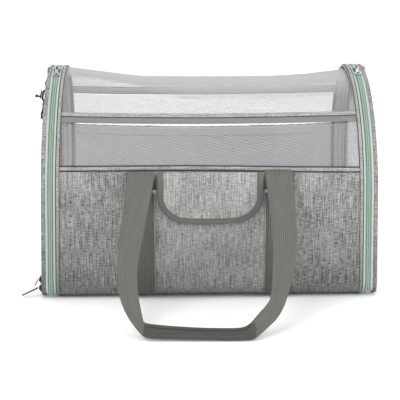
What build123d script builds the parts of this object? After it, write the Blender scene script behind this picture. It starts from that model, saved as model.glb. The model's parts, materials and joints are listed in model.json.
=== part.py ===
from build123d import *
import os
from math import cos, radians, sin

# Soft-sided pet carrier bag, millimetres.  +X right along the bag, +Y to the back, +Z up.
# The origin is the middle of the base on the floor.  The bag looks the same after half a turn
# about Z, so each left or front piece is modelled once and its right or back twin is turned.

# ---------------------------------------------------------------- driving dimensions
LENGTH = 440.0            # outer face to outer face of the ends
DEPTH = 300.0             # front wall to back wall
HEIGHT = 286.0            # floor to the top of the arch
CORNER = 25.0             # radius of the long bottom edges
LEAN = 1.2                # degrees that each end leans in at the top
GAP = 0.3                 # clearance between separate pieces

WALL = 4.0                # padded fabric
NET = 1.4                 # mesh with its coating
WEB = 2.0                 # sewn webbing
SEAM_Z = 172.0            # top of the padded walls
PIPING = 6.0              # piping strip above the walls
BASE_SEAM_Z = 5.0         # where the base meets the walls, on the rounded edge
BAND_ANGLE = 47.6         # middle of each roof band, degrees from straight up
BAND_HALF_ANGLE = 3.2

# layers of an end, measured inwards from its outer face
FACE = 5.5                # padded border and its rim
DOOR_TAPE = (5.8, 12.0)   # zipper half on the end panel
BODY_TAPE = (12.3, 18.5)  # zipper half on the body
HOOP = (18.8, 23.7)       # piping hoop
BODY_START = 24.0         # where walls and meshes begin
HINGE_S = 6.0             # height of the end panel's fold line
WINDOW_INSET = 14.0       # zipper of the mesh door, in from the outline
WINDOW_FOLD = 9.0         # height of the mesh door's fold line
MESH_DOOR = (1.2, 4.2)    # layers of the mesh door

STRAP_X = 89.5            # middle of each sewn strap
STRAP_WIDTH = 35.0
HANDLE_THICK = 2.5
FOLD_Z = 170.0            # where the handle straps fold
HANDLE_AXIS_Y = DEPTH / 2 + 3.5
HANDLE_DROP = 228.0       # fold to grip along the handle
HANDLE_SLOPE = 42.2       # degrees from vertical, grip on the floor
POCKET_HALF = 71.5
POCKET_TOP = 149.0
POCKET_DEEP = 6.5
FLAP_HALF = 67.5
FLAP_BOTTOM = 104.0
FLAP_AXIS_Z = 169.5

ARCH_Z = HEIGHT - DEPTH / 2           # centre of the arch
TILT = radians(LEAN)
LIFT = BODY_START * sin(TILT)         # keeps the leaning ends off the floor
END = Plane(origin=(-LENGTH / 2, 0, LIFT), x_dir=(0, 1, 0), z_dir=(cos(TILT), 0, -sin(TILT)))
END_TOP = (HEIGHT - LIFT) / cos(TILT)  # top of the arch on the leaning face
END_ARCH = END_TOP - DEPTH / 2         # arch centre on the leaning face
HALF_TURN = Rotation(0, 0, 180)

os.makedirs("parts", exist_ok=True)


# ---------------------------------------------------------------- helpers
def outline(inset, arch_z, mode=Mode.ADD):
    """Rounded base, upright sides and a half-round top, inside a sketch of Y and height."""
    half = DEPTH / 2 - inset
    corner = CORNER - inset
    with BuildLine() as edge:
        Line((-half + corner, inset), (half - corner, inset))
        CenterArc((half - corner, inset + corner), corner, -90, 90)
        Line((half, inset + corner), (half, arch_z))
        CenterArc((0, arch_z), half, 0, 180)
        Line((-half, arch_z), (-half, inset + corner))
        CenterArc((-half + corner, inset + corner), corner, 180, 90)
    make_face(edge.edges(), mode=mode)


def skin(outer, inner, arch_z=ARCH_Z):
    """The wall of the bag between two insets."""
    outline(outer, arch_z)
    outline(inner, arch_z, Mode.SUBTRACT)


def keep_box(y0, y1, z0, z1):
    """Keeps only the part of the sketch in this range of Y and height."""
    with Locations(((y0 + y1) / 2, (z0 + z1) / 2)):
        Rectangle(y1 - y0, z1 - z0, mode=Mode.INTERSECT)


def keep_wedge(start, end):
    """Keeps only the arch between two angles from straight up, front side positive."""
    reach = DEPTH
    angles = [radians(start), radians((start + end) / 2), radians(end)]
    corners = [(-reach * sin(a), ARCH_Z + reach * cos(a)) for a in angles]
    with BuildLine() as wedge:
        Polyline((0, ARCH_Z), *corners, close=True)
    make_face(wedge.edges(), mode=Mode.INTERSECT)


def trim_ends():
    """Cuts the active part back to the leaning planes where the end hoops begin."""
    left = END.offset(BODY_START)
    right = Plane(origin=(-left.origin.X, 0, left.origin.Z), x_dir=(0, -1, 0),
                  z_dir=(-left.z_dir.X, 0, left.z_dir.Z))
    split(bisect_by=left, keep=Keep.TOP)
    split(bisect_by=right, keep=Keep.TOP)


def save(part, name):
    part.label = name
    export_step(part, "parts/" + name + ".step")


def save_pair(part, first, second, name):
    """Writes a piece and its twin on the other side of the bag."""
    save(part, first + "_" + name)
    save(HALF_TURN * part, second + "_" + name)


def save_mirrored(part, name):
    """Writes a left piece and its mirror image at the right end."""
    save(part, "left_" + name)
    save(mirror(part, about=Plane.YZ), "right_" + name)


# ---------------------------------------------------------------- body: base, walls, meshes
with BuildPart() as bottom_panel:
    with BuildSketch(Plane.YZ):
        skin(0, WALL)
        keep_box(-DEPTH, DEPTH, 0, BASE_SEAM_Z)
    extrude(amount=LENGTH / 2, both=True)
    trim_ends()
save(bottom_panel.part, "bottom_panel")

with BuildPart() as wall:
    with BuildSketch(Plane.YZ):
        skin(0, WALL)
        keep_box(-DEPTH, 0, BASE_SEAM_Z, SEAM_Z)
    extrude(amount=LENGTH / 2, both=True)
    trim_ends()
save_pair(wall.part, "front", "back", "wall")

with BuildPart() as seam_piping:
    with BuildSketch(Plane.YZ):
        skin(-0.6, WALL)
        keep_box(-DEPTH, 0, SEAM_Z, SEAM_Z + PIPING)
    extrude(amount=LENGTH / 2, both=True)
    trim_ends()
save_pair(seam_piping.part, "front", "back", "seam_piping")

with BuildPart() as side_mesh:
    with BuildSketch(Plane.YZ):
        skin(1.0, 1.0 + NET)
        keep_wedge(BAND_ANGLE + BAND_HALF_ANGLE, 100)
        keep_box(-DEPTH, 0, SEAM_Z + PIPING, HEIGHT)
    extrude(amount=LENGTH / 2, both=True)
    trim_ends()
save_pair(side_mesh.part, "front", "back", "mesh")

with BuildPart() as roof_mesh:
    with BuildSketch(Plane.YZ):
        skin(1.0, 1.0 + NET)
        keep_wedge(BAND_HALF_ANGLE - BAND_ANGLE, BAND_ANGLE - BAND_HALF_ANGLE)
    extrude(amount=LENGTH / 2, both=True)
    trim_ends()
save(roof_mesh.part, "roof_mesh")

# each roof band is a tube of tape with a fibre rod through it
ROD_R = 1.4
ROD_DEPTH = DEPTH / 2 - WALL / 2
rod_place = (-ROD_DEPTH * sin(radians(BAND_ANGLE)), ARCH_Z + ROD_DEPTH * cos(radians(BAND_ANGLE)))
with BuildPart() as roof_band:
    with BuildSketch(Plane.YZ):
        skin(0, WALL)
        keep_wedge(BAND_ANGLE - BAND_HALF_ANGLE, BAND_ANGLE + BAND_HALF_ANGLE)
        with Locations(rod_place):
            Circle(ROD_R + 0.1, mode=Mode.SUBTRACT)
    extrude(amount=LENGTH / 2, both=True)
    trim_ends()
save_pair(roof_band.part, "front", "back", "roof_band")

with BuildPart() as stay_rod:
    with BuildSketch(Plane.YZ):
        with Locations(rod_place):
            Circle(ROD_R)
    extrude(amount=LENGTH / 2 - BODY_START - 8, both=True)
save_pair(stay_rod.part, "front", "back", "stay_rod")

# ---------------------------------------------------------------- inside: board and mat
BOARD = 2.2
MAT = 8.0
with BuildPart() as base_board:
    with BuildSketch(Plane.XY.offset(WALL + GAP)):
        RectangleRounded(LENGTH - 60, DEPTH - 52, 12)
    extrude(amount=BOARD)
save(base_board.part, "base_board")

with BuildPart() as floor_mat:
    with BuildSketch(Plane.XY.offset(WALL + 2 * GAP + BOARD)):
        RectangleRounded(LENGTH - 64, DEPTH - 40, 18)
    extrude(amount=MAT)
    fillet(floor_mat.edges().group_by(Axis.Z)[-1], 3)
save(floor_mat.part, "floor_mat")

# ---------------------------------------------------------------- front and back webbing
with BuildPart() as straps:
    with BuildSketch(Plane.XZ.offset(DEPTH / 2)):
        with Locations((-STRAP_X, (CORNER + FOLD_Z - 2) / 2), (STRAP_X, (CORNER + FOLD_Z - 2) / 2)):
            Rectangle(STRAP_WIDTH, FOLD_Z - 2 - CORNER)
    extrude(amount=WEB)
save_pair(straps.part, "front", "back", "straps")

# The handle is one webbing loop.  It leans out from its fold line until the grip is on the floor.
slope = radians(HANDLE_SLOPE)
HANDLE = Plane(origin=(0, -HANDLE_AXIS_Y, FOLD_Z), x_dir=(1, 0, 0),
               z_dir=(0, -cos(slope), sin(slope)))
with BuildPart() as handle:
    with BuildSketch(HANDLE):
        with BuildLine():
            FilletPolyline((-106, -1.5), (-119, -130), (-112, -180), (-84, -223), (20, -HANDLE_DROP),
                           (62, -219), (92, -180), (110, -100), (107, -1.5), radius=18)
            FilletPolyline((73, -1.5), (78, -110), (71, -175), (42, -206), (-76, -203), (-90, -172),
                           (-93, -133), (-70, -1.5), radius=12)
            Line((-106, -1.5), (-70, -1.5))
            Line((107, -1.5), (73, -1.5))
        make_face()
    extrude(amount=HANDLE_THICK / 2, both=True)
save_pair(handle.part, "front", "back", "handle")

# ---------------------------------------------------------------- front pocket and its flap
pocket_low = CORNER + 2
with BuildPart() as pocket:
    with BuildSketch(Plane.XZ.offset(DEPTH / 2)):
        with Locations((0, (pocket_low + POCKET_TOP) / 2)):
            Rectangle(2 * POCKET_HALF, POCKET_TOP - pocket_low)
    extrude(amount=POCKET_DEEP)
    with BuildSketch(Plane.XZ.offset(DEPTH / 2)):
        with Locations((0, (pocket_low + POCKET_TOP) / 2 + 2)):
            Rectangle(2 * POCKET_HALF - 4, POCKET_TOP - pocket_low)
    extrude(amount=POCKET_DEEP - 1.5, mode=Mode.SUBTRACT)
save(pocket.part, "front_pocket")

FLAP_Y = DEPTH / 2 + POCKET_DEEP + 1.3     # inner face of the flap
FLAP_THICK = 3.0
PATCH_Z = 122.0
with BuildPart() as flap:
    with BuildSketch(Plane.YZ):
        with BuildLine():
            Polyline((-DEPTH / 2 - 2.4, FLAP_AXIS_Z), (-FLAP_Y, 158), (-FLAP_Y, FLAP_BOTTOM),
                     (-FLAP_Y - FLAP_THICK, FLAP_BOTTOM), (-FLAP_Y - FLAP_THICK, 159),
                     (-DEPTH / 2 - 3.4, FLAP_AXIS_Z + 2), close=True)
        make_face()
    extrude(amount=FLAP_HALF, both=True)
    fillet(flap.edges().filter_by(Axis.Y).group_by(Axis.Z)[0], 30)
save(flap.part, "pocket_flap")

# hook tape under the flap, loop tape on the pocket
with BuildPart() as hook_tape:
    with BuildSketch(Plane.XZ.offset(FLAP_Y - 0.5)):
        with Locations((0, PATCH_Z)):
            Rectangle(50, 16)
    extrude(amount=0.5)
save(hook_tape.part, "flap_hook_tape")

with BuildPart() as loop_tape:
    with BuildSketch(Plane.XZ.offset(DEPTH / 2 + POCKET_DEEP)):
        with Locations((0, PATCH_Z)):
            Rectangle(50, 16)
    extrude(amount=0.5)
save(loop_tape.part, "pocket_loop_tape")

# ---------------------------------------------------------------- ends: hoop and body zipper half
with BuildPart() as hoop:
    with BuildSketch(END.offset(HOOP[0])):
        skin(0.4, WALL, END_ARCH)
    extrude(amount=HOOP[1] - HOOP[0])
save_pair(hoop.part, "left", "right", "piping_hoop")

# The zipper's body half runs all round; under the fold line it also fills the door half's place.
ZIP = (0.8, 3.0)
with BuildPart() as body_zip:
    with BuildSketch(END.offset(BODY_TAPE[0])):
        skin(ZIP[0], ZIP[1], END_ARCH)
    extrude(amount=BODY_TAPE[1] - BODY_TAPE[0])
    with BuildSketch(END.offset(DOOR_TAPE[0])):
        skin(ZIP[0], ZIP[1], END_ARCH)
        keep_box(-DEPTH, DEPTH, 0, HINGE_S - GAP)
    extrude(amount=BODY_TAPE[0] - DOOR_TAPE[0])
save_pair(body_zip.part, "left", "right", "body_zipper")

with BuildPart() as fold_strip:
    with BuildSketch(END):
        outline(0.4, END_ARCH)
        keep_box(-DEPTH, DEPTH, 0, HINGE_S - GAP)
    extrude(amount=FACE)
save_pair(fold_strip.part, "left", "right", "fold_strip")

# ---------------------------------------------------------------- ends: panel that folds down
def window(inset, low, mode=Mode.ADD):
    """Half-round top and upright sides down to a straight lower edge."""
    half = DEPTH / 2 - inset
    with BuildLine() as edge:
        Line((-half, low), (half, low))
        Line((half, low), (half, END_ARCH))
        CenterArc((0, END_ARCH), half, 0, 180)
        Line((-half, END_ARCH), (-half, low))
    make_face(edge.edges(), mode=mode)


def wire_path(plane, foot):
    """Spring wire's route, up one side of the end, over the arch and down the other."""
    half = DEPTH / 2 - WIRE_INSET
    with BuildLine(plane) as path:
        Line((half, foot), (half, END_ARCH))
        CenterArc((0, END_ARCH), half, 0, 180)
        Line((-half, END_ARCH), (-half, foot))
    return path.wire()


def section(path):
    """Plane square to the start of a path."""
    return Plane(origin=path @ 0, z_dir=path % 0)


with BuildPart() as door_zip:
    with BuildSketch(END.offset(DOOR_TAPE[0])):
        skin(ZIP[0], ZIP[1], END_ARCH)
        keep_box(-DEPTH, DEPTH, HINGE_S, HEIGHT)
    extrude(amount=DOOR_TAPE[1] - DOOR_TAPE[0])
save_pair(door_zip.part, "left", "right", "panel_zipper")

WIRE_R = 1.2
WIRE_INSET = 4.5
WIRE_FOOT = 32.0          # the wire stops this high above the fold line's plane
channel = wire_path(END.offset(FACE / 2), WIRE_FOOT - 2)
wire_line = wire_path(END.offset(FACE / 2), WIRE_FOOT)

with BuildPart() as border:
    with BuildSketch(END):
        outline(0.4, END_ARCH)
        window(WINDOW_INSET - GAP, WINDOW_FOLD - GAP, Mode.SUBTRACT)
        keep_box(-DEPTH, DEPTH, HINGE_S, HEIGHT)
    extrude(amount=FACE)
    with BuildSketch(section(channel)):
        Circle(WIRE_R + 0.2)
    sweep(path=channel, mode=Mode.SUBTRACT)
save_pair(border.part, "left", "right", "end_border")

with BuildPart() as wire:
    with BuildSketch(section(wire_line)):
        Circle(WIRE_R)
    sweep(path=wire_line)
save_pair(wire.part, "left", "right", "hoop_wire")

with BuildPart() as mesh_door:
    with BuildSketch(END.offset(MESH_DOOR[0])):
        window(WINDOW_INSET + GAP, WINDOW_FOLD)
    extrude(amount=MESH_DOOR[1] - MESH_DOOR[0])
save_pair(mesh_door.part, "left", "right", "mesh_door")

# ---------------------------------------------------------------- ends: rings, and the left one's snap hook
# HANG has its origin on the ring's bar.  Its x runs along the bar, its y up the ring, and
# its z points away from the bag.  Ring and hook hang a little off the end.
RING_S = 262.0            # height of the bar on the leaning face
RING_OUT = 3.2            # bar's axis in front of the face
HANG_ANGLE = 9.0          # ring and hook stand off the face by this
RING_HALF = 12.0
RING_WIRE = 1.5
RING_DROP = 15.0          # bar to bow
LOOP_THICK = 1.2
bar_centre = END.from_local_coords((0, RING_S, -RING_OUT))
hang = radians(HANG_ANGLE) + TILT
HANG = Plane(origin=bar_centre, x_dir=(0, -1, 0), z_dir=(-cos(hang), 0, sin(hang)))
ACROSS = Plane(origin=bar_centre, x_dir=HANG.z_dir, z_dir=HANG.z_dir.cross(HANG.y_dir))

with BuildPart() as ring_loop:
    with BuildSketch(END):
        with Locations((0, (RING_S + END_TOP - 3) / 2)):
            Rectangle(18, END_TOP - 3 - RING_S)
    extrude(amount=-LOOP_THICK)
    with BuildSketch(ACROSS):
        Circle(RING_OUT - 0.1)
    extrude(amount=9, both=True)
    with BuildSketch(ACROSS):
        Circle(RING_WIRE + GAP)
    extrude(amount=10, both=True, mode=Mode.SUBTRACT)
save_pair(ring_loop.part, "left", "right", "ring_loop")

with BuildPart() as d_ring:
    with BuildLine(HANG) as bow:
        FilletPolyline((RING_HALF, 0), (RING_HALF, -RING_DROP), (-RING_HALF, -RING_DROP),
                       (-RING_HALF, 0), radius=[2.2, 8, 8, 2.2], close=True)
    with BuildSketch(section(bow.wire())):
        Circle(RING_WIRE)
    sweep(path=bow.wire())
save_pair(d_ring.part, "left", "right", "d_ring")

# The hook is drawn across the ring: x away from the bag, y up.
HOOK_THICK = 3.6
HOOK_R = 4.8
MOUTH_R = 2.2
HOOK_X = 0.3              # middle of the mouth off the ring's plane
MOUTH_LONG = 7.4          # straight part of the mouth
EYE_Y = -37.0             # middle of the strap eye
with BuildPart() as snap_hook:
    with BuildSketch(ACROSS):
        with Locations((HOOK_X, -RING_DROP - 2.5)):
            SlotOverall(MOUTH_LONG + 2 * HOOK_R, 2 * HOOK_R, rotation=90)
            SlotOverall(MOUTH_LONG + 2 * MOUTH_R, 2 * MOUTH_R, rotation=90, mode=Mode.SUBTRACT)
        with Locations((0, -28)):
            Rectangle(5, 9)
    extrude(amount=HOOK_THICK / 2, both=True)
    with BuildSketch(HANG.offset(-1)):
        with Locations((0, EYE_Y)):
            RectangleRounded(24, 10.4, 2)
            Rectangle(19, 5, mode=Mode.SUBTRACT)
    extrude(amount=2.4)
save(snap_hook.part, "left_snap_hook")

LEVER_X = HOOK_X + HOOK_R + 0.4
LEVER_Y = -RING_DROP - 4
with BuildPart() as hook_lever:
    with BuildSketch(ACROSS):
        with Locations((LEVER_X + 0.9, LEVER_Y + 2)):
            Rectangle(1.8, 11)
        with Locations((LEVER_X + 3.6, LEVER_Y - 1)):
            Rectangle(4.4, 2)
        with Locations((LEVER_X + 6.6, LEVER_Y - 1)):
            Circle(1.9)
    extrude(amount=HOOK_THICK / 2, both=True)
save(hook_lever.part, "left_hook_lever")

STRAP_END = 12.0
with BuildPart() as hook_strap:
    with BuildSketch(HANG.offset(-1.4)):
        with Locations((0, EYE_Y - 1 - STRAP_END / 2)):
            Rectangle(18, STRAP_END)
    extrude(amount=3)
    with BuildSketch(HANG.offset(-1.8)):
        with Locations((0, EYE_Y)):
            RectangleRounded(24.8, 11.2, 2)
    extrude(amount=4, mode=Mode.SUBTRACT)
save(hook_strap.part, "left_hook_strap")

# ---------------------------------------------------------------- zipper sliders and their pulls
# A top slider rides on the zipper, a little in front of the arch's top, and turns about its axis.
ZIP_MIDDLE = (DOOR_TAPE[1] + BODY_TAPE[0]) / 2
SLIDER_LIFT = 0.6
SLIDER_THICK = 2.0
POST_Y = 3.6
SLIDER_TURN = radians(9.0)
slider_radius = DEPTH / 2 + SLIDER_LIFT
slider_origin = END.from_local_coords((-slider_radius * sin(SLIDER_TURN),
                                       END_TOP - DEPTH / 2 + slider_radius * cos(SLIDER_TURN), ZIP_MIDDLE))
TOP = Plane(origin=slider_origin, x_dir=Vector(0, 1, 0) * cos(SLIDER_TURN) + END.y_dir * sin(SLIDER_TURN),
            z_dir=END.y_dir * cos(SLIDER_TURN) - Vector(0, 1, 0) * sin(SLIDER_TURN))
with BuildPart() as top_slider:
    with BuildSketch(TOP):
        RectangleRounded(12, 8.4, 2.4)
    extrude(amount=SLIDER_THICK)
    fillet(top_slider.edges().group_by(Axis.Z)[-1], 0.6)
    with BuildSketch(TOP.offset(SLIDER_THICK - 0.2)):
        with Locations((-POST_Y, 0), (POST_Y, 0)):
            Rectangle(1.8, 2.4)
    extrude(amount=2.8)
    with BuildSketch(TOP.offset(4.4)):
        Rectangle(9, 2.4)
    extrude(amount=1.2)
save_mirrored(top_slider.part, "top_slider")

# The pull's eye goes under the slider's bridge, and a ring ends its bar.
PULL = 24.0
PULL_THICK = 1.2
PULL_SLOPE = SLIDER_TURN + radians(11.0)   # it lies along the arch
pull_pivot = TOP.from_local_coords((-1.5, 0, 3.5))
FLAT = Plane(origin=pull_pivot, x_dir=(0, -cos(PULL_SLOPE), -sin(PULL_SLOPE)),
             z_dir=(0, -sin(PULL_SLOPE), cos(PULL_SLOPE)))
with BuildPart() as top_pull:
    with BuildSketch(FLAT.offset(-PULL_THICK / 2)):
        with Locations((2.5, 0)):
            Rectangle(6.2, 5.8)
            Rectangle(3.6, 3.2, mode=Mode.SUBTRACT)
        with Locations((11.5, 0)):
            Rectangle(13, 4.2)
        with Locations((PULL - 4.2, 0)):
            Circle(4.2)
            Circle(2.4, mode=Mode.SUBTRACT)
    extrude(amount=PULL_THICK)
save_mirrored(top_pull.part, "top_pull")

# Two small sliders on the mesh door's zipper, low at the front corner, run up its straight side.
DOOR_SLIDER_Y = -DEPTH / 2 + WINDOW_INSET
TAB_OUT = GAP + 5.2
for place, droop, tab_length, name in ((24.0, 62.0, 9.5, "upper"), (12.5, 26.0, 24.0, "lower")):
    with BuildPart() as door_slider:
        with BuildSketch(END.offset(-GAP)):
            with Locations((DOOR_SLIDER_Y, place)):
                RectangleRounded(7.4, 9.4, 2)
        extrude(amount=-2.2)
        with BuildSketch(END.offset(-GAP - 2)):
            with Locations((DOOR_SLIDER_Y, place)):
                Rectangle(1.6, 5.6)
        extrude(amount=-2)
    save_pair(door_slider.part, "left", "right", name + "_door_slider")

    down = radians(droop)
    pivot = END.from_local_coords((DOOR_SLIDER_Y, place, -TAB_OUT))
    along = Plane(origin=pivot, x_dir=(-cos(down), 0, -sin(down)), z_dir=(-sin(down), 0, cos(down)))
    with BuildPart() as tab:
        with BuildSketch(along.offset(-0.5)):
            with Locations((tab_length / 2, 0)):
                SlotOverall(tab_length, 4.4)
        extrude(amount=1)
    save_pair(tab.part, "left", "right", name + "_door_tab")
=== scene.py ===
import json
import math

import bmesh
import bpy
import numpy as np
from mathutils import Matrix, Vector, noise


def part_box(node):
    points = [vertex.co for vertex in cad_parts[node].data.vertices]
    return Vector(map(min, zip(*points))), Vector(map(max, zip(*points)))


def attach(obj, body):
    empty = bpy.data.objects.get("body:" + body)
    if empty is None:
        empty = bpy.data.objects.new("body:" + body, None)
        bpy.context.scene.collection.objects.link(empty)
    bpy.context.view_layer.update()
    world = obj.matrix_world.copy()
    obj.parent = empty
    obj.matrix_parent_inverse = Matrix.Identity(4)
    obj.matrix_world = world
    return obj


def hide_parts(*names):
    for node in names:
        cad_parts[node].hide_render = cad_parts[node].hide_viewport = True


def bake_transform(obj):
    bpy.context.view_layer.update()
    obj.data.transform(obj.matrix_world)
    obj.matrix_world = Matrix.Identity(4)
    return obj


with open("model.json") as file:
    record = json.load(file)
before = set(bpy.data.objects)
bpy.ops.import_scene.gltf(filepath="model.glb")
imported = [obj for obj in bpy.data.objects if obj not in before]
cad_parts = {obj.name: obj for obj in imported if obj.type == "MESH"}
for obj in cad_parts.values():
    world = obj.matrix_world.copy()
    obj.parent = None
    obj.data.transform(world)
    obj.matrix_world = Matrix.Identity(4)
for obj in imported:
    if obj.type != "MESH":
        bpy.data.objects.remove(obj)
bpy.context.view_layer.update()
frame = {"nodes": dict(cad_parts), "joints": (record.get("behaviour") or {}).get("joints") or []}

# Looks of a soft-sided pet carrier bag.  Shapes are worked out in millimetres in the bag's frame
# (+X right, +Y back, +Z up) and turned into metres when a mesh is made.  Left and front pieces are
# given half a turn about Z to make the right and back ones.
MM = 0.001
scene = bpy.context.scene


def corners(node):
    """Lowest and highest corner of a CAD node, in millimetres."""
    low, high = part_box(node)
    return np.array(low) / MM, np.array(high) / MM


# ---- sizes read from the frame
JOINTS = {joint["name"]: joint for joint in frame["joints"]}
HALF_DEPTH = -corners("front_wall")[0][1]
SEAM = corners("front_wall")[1][2]
PIPING_TOP = corners("front_seam_piping")[1][2]
HALF_LENGTH = -corners("left_fold_strip")[0][0]
HEIGHT = corners("roof_mesh")[1][2] + 1.0
BASE_SEAM = corners("bottom_panel")[1][2]
CORNER = 25.0
ARCH = HEIGHT - HALF_DEPTH
TILT = math.asin(-JOINTS["left_zip"]["axis"][2])
BODY_START = 24.0
LIFT = BODY_START * math.sin(TILT)
END_ARCH = (HEIGHT - LIFT) / math.cos(TILT) - HALF_DEPTH
FOLD = np.array(JOINTS["front_handle_fold"]["pos_m"]) / MM
BAND = corners("front_roof_band")
NET_THICK = 1.4
STRAP_TOP = corners("front_straps")[1][2]
STRAP_OUTER = corners("front_straps")[1][0]
STRAP_WIDTH = 35.0
POCKET = corners("front_pocket")
FLAP = corners("pocket_flap")

BASE_HALF = HALF_DEPTH - CORNER
CORNER_RUN = math.pi / 2 * CORNER
ARCH_RUN = math.pi / 2 * HALF_DEPTH
HALF_RUN = BASE_HALF + CORNER_RUN + ARCH - CORNER + ARCH_RUN   # round the outline to its top
APEX_REACH = 44.0          # the roof net is knit more closely within this of its top,
APEX_SHIFT = 66.0          # and up to twice as far on its right


# ---- outline and surfaces
def outline(t, arch=ARCH):
    """Point and outward normal of the bag's section at distance t from the middle of the base.

    t grows to the front, up the front, over the arch and down the back."""
    t = np.asarray(t, float)
    side_run = arch - CORNER
    half = BASE_HALF + CORNER_RUN + side_run + ARCH_RUN
    u = np.where(t > half, 2 * half - t, t)
    bend = np.clip((u - BASE_HALF) / CORNER, 0, math.pi / 2)
    climb = np.clip(u - BASE_HALF - CORNER_RUN, 0, side_run)
    turn = np.clip((u - BASE_HALF - CORNER_RUN - side_run) / HALF_DEPTH, 0, math.pi / 2)
    on_arch = turn > 0
    y = np.where(on_arch, -HALF_DEPTH * np.cos(turn),
                 -np.clip(u, 0, BASE_HALF) - CORNER * np.sin(bend))
    z = np.where(on_arch, arch + HALF_DEPTH * np.sin(turn), CORNER * (1 - np.cos(bend)) + climb)
    ny = np.where(on_arch, -np.cos(turn), -np.sin(bend))
    nz = np.where(on_arch, np.sin(turn), -np.cos(bend))
    back = np.where(t > half, -1, 1)
    return y * back, z, ny * back, nz


def run_at(z, arch=ARCH):
    """Distance t of the front point at height z."""
    if z < CORNER:
        return BASE_HALF + CORNER * math.acos(1 - z / CORNER)
    if z < arch:
        return BASE_HALF + CORNER_RUN + z - CORNER
    return BASE_HALF + CORNER_RUN + arch - CORNER + HALF_DEPTH * math.asin((z - arch) / HALF_DEPTH)


def end_point(y, s, d):
    """Bag point of the left end's place: y across, s up its leaning face, d in from the face."""
    x = -HALF_LENGTH + s * math.sin(TILT) + d * math.cos(TILT)
    z = LIFT + s * math.cos(TILT) - d * math.sin(TILT)
    return stack(x, y, z)


def stack(*parts):
    """Joins coordinates, broadcast together, along a new last axis."""
    return np.stack(np.broadcast_arrays(*parts), -1)


def ramp(x, low, high):
    """0 below low, 1 above high, smooth between."""
    t = np.clip((np.asarray(x, float) - low) / (high - low), 0, 1)
    return t * t * (3 - 2 * t)


def ripple(x, y, size, seed):
    """Smooth seeded noise of about -1 to 1 over two lengths."""
    x, y = np.broadcast_arrays(np.asarray(x, float), np.asarray(y, float))
    flat = [noise.noise(Vector((a / size, b / size, seed))) for a, b in zip(x.ravel(), y.ravel())]
    return np.array(flat).reshape(x.shape)


# ---- mesh making
MERGE = 0.02               # points closer than this become one
NET_CLOTH = 0.45           # thickness of the nets


def add_mesh(name, vertices, faces, uvs, material, body):
    """A mesh object in metres with its weave coordinates and material, riding on a body (or loose if None).
    """
    mesh = bpy.data.meshes.new(name)
    mesh.from_pydata([tuple(v) for v in np.asarray(vertices) * MM], [], faces)
    layer = mesh.uv_layers.new(name="weave")
    spots = np.array([uvs[i] for face in faces for i in face], float)
    layer.data.foreach_set("uv", spots.astype(np.float32).ravel())
    mesh.polygons.foreach_set("use_smooth", [True] * len(mesh.polygons))
    mesh.materials.append(material)
    piece = bpy.data.objects.new(name, mesh)
    scene.collection.objects.link(piece)
    tidy = bmesh.new()
    tidy.from_mesh(mesh)
    bmesh.ops.remove_doubles(tidy, verts=tidy.verts, dist=MERGE * MM)
    bmesh.ops.recalc_face_normals(tidy, faces=tidy.faces)
    tidy.to_mesh(mesh)
    tidy.free()
    if body:
        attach(piece, body)
    return piece


def grid(name, points, uv, material, body, caps=False):
    """A quad grid from points and uv, both of shape (rows, columns, ...)."""
    rows, columns = points.shape[:2]
    faces = [(r * columns + c, r * columns + c + 1, (r + 1) * columns + c + 1, (r + 1) * columns + c)
             for r in range(rows - 1) for c in range(columns - 1)]
    if caps:
        faces.append(tuple(range(columns - 1)))
        faces.append(tuple((rows - 1) * columns + c for c in range(columns - 1)))
    return add_mesh(name, points.reshape(-1, 3), faces, uv.reshape(-1, 2), material, body)


def lengths(points):
    """Distance along a row of points."""
    steps = np.linalg.norm(np.diff(points, axis=0), axis=1)
    return np.concatenate([[0], np.cumsum(steps)])


def unturned(points):
    return points


def turned(points):
    """Half a turn about Z."""
    return points * np.array([-1, -1, 1])


SIDES = (("left_", unturned), ("right_", turned))
PLACES = (("front_", unturned), ("back_", turned))


def thicken(piece, thickness, offset=-1.0):
    """Gives a sheet its thickness, inwards for offset -1."""
    solid = piece.modifiers.new("thickness", "SOLIDIFY")
    solid.thickness = thickness * MM
    solid.offset = offset
    return piece


def bend(piece, lower, upper, start, end):
    """Bakes a piece's placement into its mesh; it is not bent. lower, upper, start and end (in millimetres)
    are not used.
    """
    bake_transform(piece)


def tube(name, path, radius, material, body, sides):
    """A round tube along points, with parallel frames."""
    tangents = np.gradient(path, axis=0)
    tangents /= np.linalg.norm(tangents, axis=1)[:, None]
    side = np.cross(tangents[0], (0.31, 0.57, 0.76))   # any direction off the path starts the frame
    sides_of = []
    for tangent in tangents:
        side = side - tangent * (side @ tangent)
        side /= np.linalg.norm(side)
        sides_of.append(side)
    sides_of = np.array(sides_of)
    ups = np.cross(tangents, sides_of)
    angle = np.linspace(0, 2 * math.pi, sides + 1)
    ring = (sides_of[:, None] * np.cos(angle)[None, :, None]
            + ups[:, None] * np.sin(angle)[None, :, None]) * radius
    uv = stack(angle[None] * radius, lengths(path)[:, None])
    return grid(name, path[:, None] + ring, uv, material, body, caps=True)


def sweep(name, route, section, material, body, turn, caps=True, scaled=False):
    """Sweeps a section of (depth, out) along a route: y, s, outward normal, run and perhaps width."""
    y, s, ny, ns, run = [values[:, None] for values in route[:5]]
    section = np.array(section)
    out = section[:, 1] * (route[5][:, None] if scaled else 1.0)
    points = end_point(y + ny * out, s + ns * out, section[:, 0])
    return grid(name, turn(points), stack(run, lengths(section)), material, body, caps)


# ---- materials
BASE_SHADE_HEIGHT = 0.2          # metres: painted shade darkens colours below this height, by a factor at each share of it
BASE_SHADE_STOPS = ((0.0, (0.52, 0.55, 0.52)), (0.25, (0.70, 0.72, 0.70)), (0.55, (0.92, 0.925, 0.91)),
               (0.85, (1.0, 1.0, 0.985)))


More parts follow.
